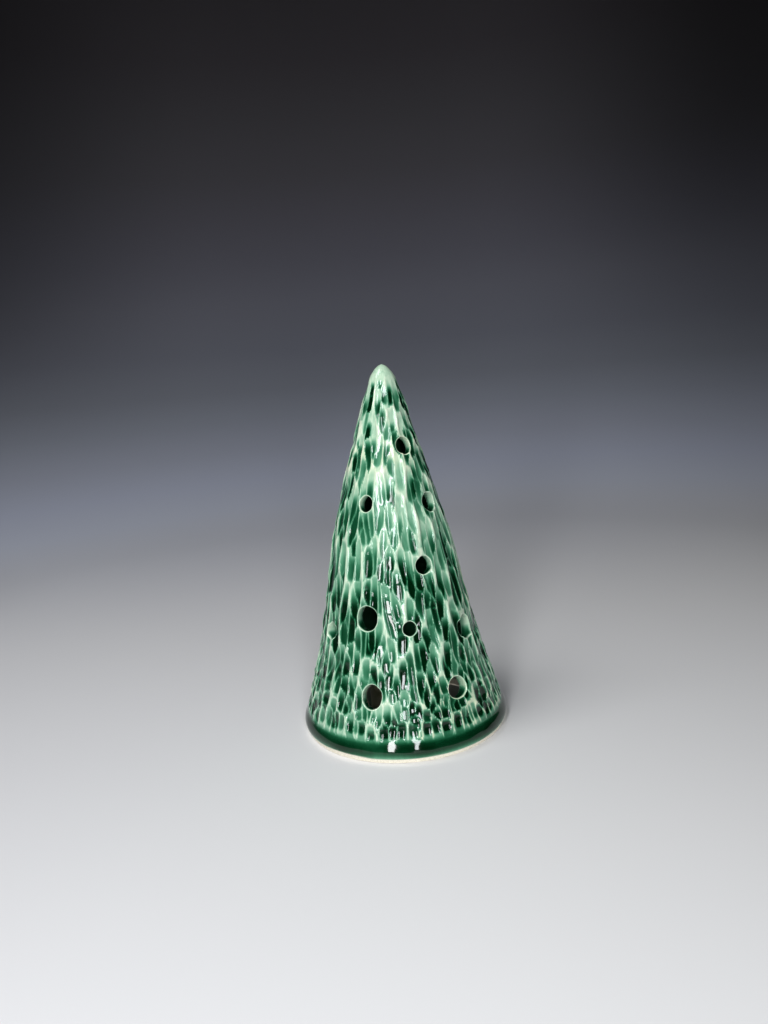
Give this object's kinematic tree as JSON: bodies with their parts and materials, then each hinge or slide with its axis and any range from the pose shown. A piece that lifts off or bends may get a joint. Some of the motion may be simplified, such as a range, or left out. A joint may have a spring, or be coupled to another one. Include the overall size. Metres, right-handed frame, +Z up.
{
  "type": "christmas tree luminary",
  "caption": "Hollow carved ceramic cone shaped like a fir tree, pierced with round light holes, standing over a battery tea light with a hinged battery door.",
  "frame": {"origin": "on the table, on the cone's axis, at the centre of the foot ring's underside", "axes": "+Z up the cone towards its tip, -Y towards the front as pictured, +X to the right seen from the front"},
  "size_m": [0.11, 0.11, 0.19],
  "materials": {
    "green_glaze": "glossy translucent green glaze, dark where it pools in the carving and pale mint on the ridges",
    "ivory_plastic": "moulded ivory plastic, satin",
    "frosted_flame": "frosted translucent plastic",
    "led_epoxy": "clear amber epoxy",
    "white_plastic": "moulded white plastic",
    "tinned_wire": "tinned",
    "cell_steel": "nickel-plated steel",
    "brass_contact": "stamped strip",
    "black_plastic": "moulded black plastic",
    "screw_steel": "zinc-plated"
  },
  "bodies": {
    "tea_light": {"candle_housing": "ivory_plastic", "flame_lens": "frosted_flame", "led_emitter": "led_epoxy", "led_holder": "white_plastic", "anode_lead": "tinned_wire", "cathode_lead": "tinned_wire", "base_plate": "ivory_plastic", "coin_cell": "cell_steel", "positive_contact": "brass_contact", "negative_contact": "brass_contact"},
    "tree": {"tree_shell": "green_glaze"},
    "door": {"battery_door": "ivory_plastic", "door_screw": "screw_steel"},
    "power_switch": {"switch_slider": "black_plastic", "switch_wiper": "brass_contact"}
  },
  "joints": [
    {"name": "shell_lift", "type": "slide", "parent": "tea_light", "child": "tree", "axis": [0, 0, 1], "range_m": [0, 0.06]},
    {"name": "switch_slide", "type": "slide", "parent": "tea_light", "child": "power_switch", "axis": [0, 1, 0], "range_m": [0, 0.0025]},
    {"name": "battery_door_hinge", "type": "hinge", "parent": "tea_light", "child": "door", "pos_m": [-0.0146, 0, 0.0017], "axis": [0, 1, 0], "range_deg": [0, 100]}
  ]
}
